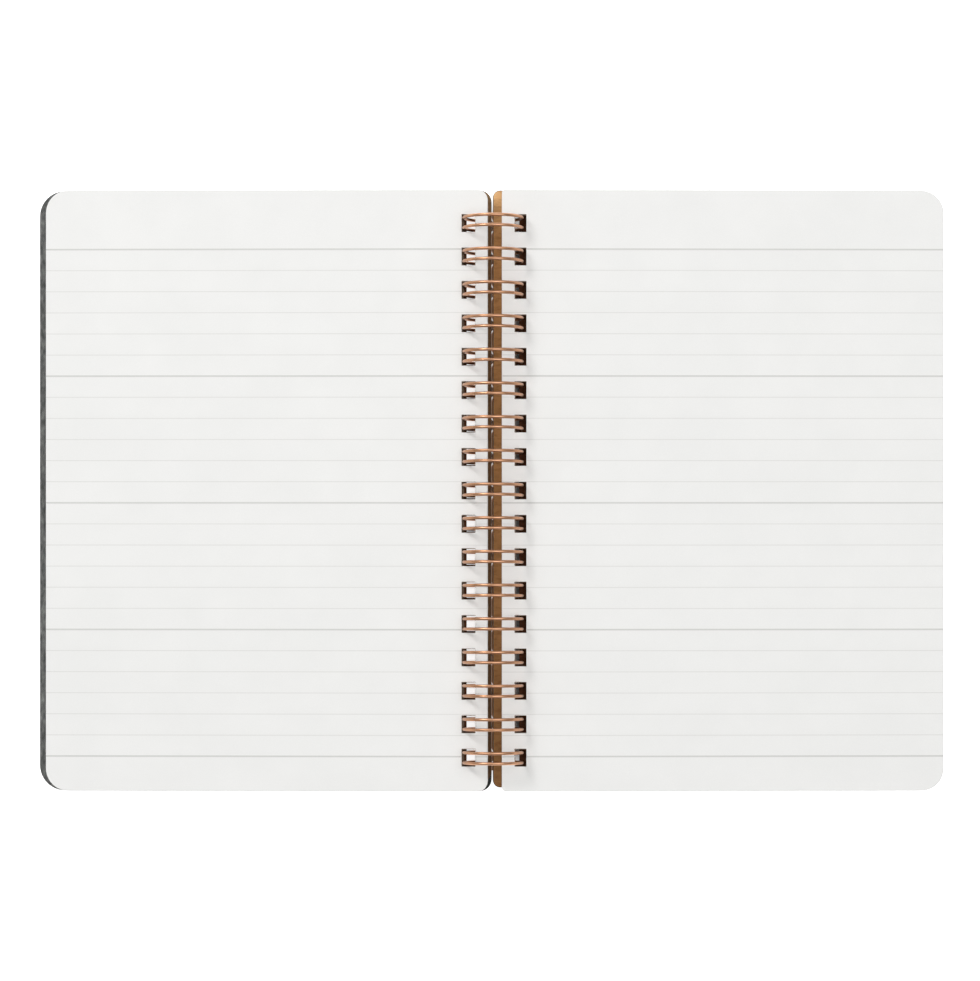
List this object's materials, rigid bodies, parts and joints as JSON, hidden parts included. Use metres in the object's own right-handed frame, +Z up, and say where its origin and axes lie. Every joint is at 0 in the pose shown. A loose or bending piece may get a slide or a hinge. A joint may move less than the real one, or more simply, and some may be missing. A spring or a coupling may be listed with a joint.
{
  "type": "open spiral notebook",
  "caption": "Ruled notebook lying open, with board covers and rounded corners, bound down the middle with a copper-coloured twin-loop wire.",
  "frame": {"origin": "on the table, under the middle of the open notebook's whole width and height", "axes": "+X across the open notebook towards the right page, +Y up the page towards its head, +Z up from the table"},
  "size_m": [0.3453, 0.2294, 0.0235],
  "materials": {
    "wire": "satin",
    "book_cloth": "matte",
    "kraft_paper": "matte",
    "page_paper": "matte",
    "ruling_ink": "matte"
  },
  "bodies": {
    "wire": {"binding_wire": "wire"},
    "front": {"front_cover": "book_cloth", "front_lining": "kraft_paper"},
    "left_sheets": {"left_pages": "page_paper", "left_ruling": "ruling_ink"},
    "back": {"back_cover": "book_cloth", "back_lining": "kraft_paper"},
    "right_sheets": {"right_pages": "page_paper", "right_ruling": "ruling_ink"}
  },
  "joints": [
    {"name": "front_cover_hinge", "type": "hinge", "parent": "wire", "child": "front", "pos_m": [0.00095, 0, 0.01188], "axis": [0, 1, 0], "range_deg": [0, 182.58]},
    {"name": "left_sheets_hinge", "type": "hinge", "parent": "front", "child": "left_sheets", "pos_m": [0.00095, 0, 0.01188], "axis": [0, 1, 0], "range_deg": [0, 177.42]},
    {"name": "back_cover_hinge", "type": "hinge", "parent": "wire", "child": "back", "pos_m": [0.00095, 0, 0.01188], "axis": [0, 1, 0], "range_deg": [-182.58, 0]},
    {"name": "right_sheets_hinge", "type": "hinge", "parent": "back", "child": "right_sheets", "pos_m": [0.00095, 0, 0.01188], "axis": [0, 1, 0], "range_deg": [-177.42, 0]}
  ]
}
